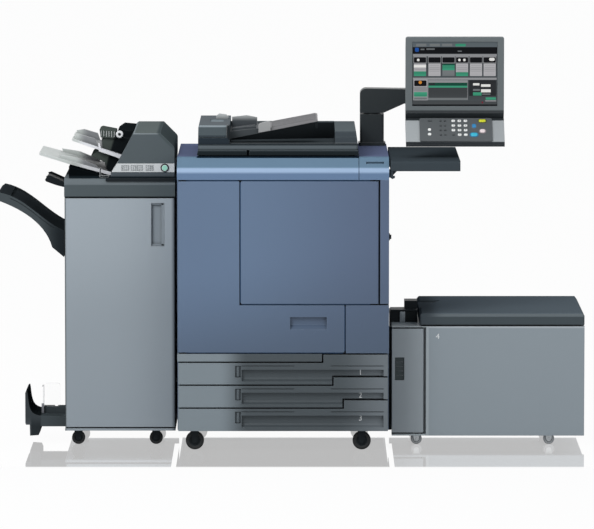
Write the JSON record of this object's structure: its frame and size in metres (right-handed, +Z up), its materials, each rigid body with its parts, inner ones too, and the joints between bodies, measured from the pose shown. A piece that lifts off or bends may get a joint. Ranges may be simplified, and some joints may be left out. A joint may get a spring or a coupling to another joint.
{
  "type": "digital production printer",
  "caption": "Floor-standing colour production printer line: print engine with paper trays, document feeder and panel on an arm, stacking finisher, and side paper feeder.",
  "frame": {"origin": "on the floor, under the centre of the whole line's footprint", "axes": "+X along the line from the finisher to the paper feeder unit, +Y from the front to the rear, +Z up"},
  "size_m": [2.13, 0.992, 1.4759],
  "materials": {
    "engine_blue": "fine-textured blue-grey cover",
    "unit_grey": "fine-textured light grey cover",
    "tray_grey": "moulded mid grey",
    "dark_grey": "moulded dark grey",
    "black_plastic": "moulded black",
    "zinc_steel": "zinc-plated sheet",
    "silver_plastic": "silver-grey paint on plastic",
    "wheel_rubber": "castor tread",
    "scanner_glass": "scanning glass",
    "screen_glass": "touch screen",
    "clear_plastic": "clear moulded stop"
  },
  "bodies": {
    "printer": {"engine_chassis": "black_plastic", "engine_side_panels": "engine_blue", "engine_rear_cover": "tray_grey", "engine_core": "dark_grey", "engine_inner_cover": "dark_grey", "engine_fixed_covers": "engine_blue", "toner_bottles": "black_plastic", "tray_head_strip": "tray_grey", "engine_top_cover": "engine_blue", "engine_top_right_cover": "engine_blue", "platen_glass": "scanner_glass", "door_pins": "zinc_steel", "tray_rails": "zinc_steel", "side_fittings": "black_plastic", "castor_forks": "black_plastic", "castor_wheels": "wheel_rubber", "feeder_castor_forks": "silver_plastic", "feeder_castor_wheels": "silver_plastic", "panel_post": "black_plastic", "working_table": "dark_grey", "finisher_housing": "unit_grey", "finisher_inner_cover": "dark_grey", "finisher_lid": "dark_grey", "inserter_base": "black_plastic", "inserter_housing": "dark_grey", "inserter_hood": "black_plastic", "inserter_key_strip": "silver_plastic", "inserter_upper_tray": "silver_plastic", "inserter_lower_tray": "silver_plastic", "sub_tray": "black_plastic", "booklet_tray": "black_plastic", "booklet_stopper": "clear_plastic", "feeder_unit_housing": "unit_grey", "feeder_unit_lift_plate": "zinc_steel", "feeder_unit_bridge": "black_plastic"},
    "front_door": {"front_door": "engine_blue"},
    "toner_door": {"toner_door": "engine_blue"},
    "paper_tray_1": {"paper_tray_1_front": "tray_grey", "paper_tray_1_box": "zinc_steel"},
    "paper_tray_2": {"paper_tray_2_front": "tray_grey", "paper_tray_2_box": "zinc_steel"},
    "paper_tray_3": {"paper_tray_3_front": "tray_grey", "paper_tray_3_box": "zinc_steel"},
    "document_feeder": {"feeder_base": "dark_grey", "feeder_head": "dark_grey", "document_tray": "dark_grey", "document_guides": "silver_plastic"},
    "panel_arm": {"panel_arm": "black_plastic"},
    "operator_panel": {"monitor_knuckle": "black_plastic", "monitor_housing": "dark_grey", "touch_screen": "screen_glass", "key_shelf": "silver_plastic", "key_panel": "dark_grey", "panel_keys": "silver_plastic"},
    "finisher_door": {"finisher_door": "unit_grey"},
    "shift_tray": {"shift_tray": "black_plastic"},
    "feeder_unit_door": {"feeder_unit_door": "unit_grey"},
    "feeder_unit_lid": {"feeder_unit_lid": "dark_grey"}
  },
  "joints": [
    {"name": "front_door_hinge", "type": "hinge", "parent": "printer", "child": "front_door", "pos_m": [-0.39625, -0.49, 0.3565], "axis": [0, 0, -1], "range_deg": [0, 100]},
    {"name": "toner_door_hinge", "type": "hinge", "parent": "printer", "child": "toner_door", "pos_m": [0.312, -0.49, 0.532], "axis": [0, 0, 1], "range_deg": [0, 100]},
    {"name": "paper_tray_1_slide", "type": "slide", "parent": "printer", "child": "paper_tray_1", "axis": [0, -1, 0], "range_m": [0, 0.42]},
    {"name": "paper_tray_2_slide", "type": "slide", "parent": "printer", "child": "paper_tray_2", "axis": [0, -1, 0], "range_m": [0, 0.42]},
    {"name": "paper_tray_3_slide", "type": "slide", "parent": "printer", "child": "paper_tray_3", "axis": [0, -1, 0], "range_m": [0, 0.42]},
    {"name": "document_feeder_hinge", "type": "hinge", "parent": "printer", "child": "document_feeder", "pos_m": [-0.331, 0.136, 1.0735], "axis": [-1, 0, 0], "range_deg": [0, 65]},
    {"name": "panel_arm_swivel", "type": "hinge", "parent": "printer", "child": "panel_arm", "pos_m": [0.301, 0.142, 1.175], "axis": [0, 0, 1], "range_deg": [-12, 30]},
    {"name": "operator_panel_tilt", "type": "hinge", "parent": "panel_arm", "child": "operator_panel", "pos_m": [0.596, -0.174, 1.228], "axis": [-1, 0, 0], "range_deg": [-5, 20]},
    {"name": "finisher_door_hinge", "type": "hinge", "parent": "printer", "child": "finisher_door", "pos_m": [-0.80625, -0.34, 0.0675], "axis": [0, 0, -1], "range_deg": [0, 110]},
    {"name": "shift_tray_slide", "type": "slide", "parent": "printer", "child": "shift_tray", "axis": [0, 0, 1], "range_m": [-0.38, 0.02]},
    {"name": "feeder_unit_door_hinge", "type": "hinge", "parent": "printer", "child": "feeder_unit_door", "pos_m": [0.477, -0.34, 0.0475], "axis": [0, 0, 1], "range_deg": [0, 100]},
    {"name": "feeder_unit_lid_hinge", "type": "hinge", "parent": "printer", "child": "feeder_unit_lid", "pos_m": [0.547, 0.266, 0.4455], "axis": [-1, 0, 0], "range_deg": [0, 50]}
  ]
}
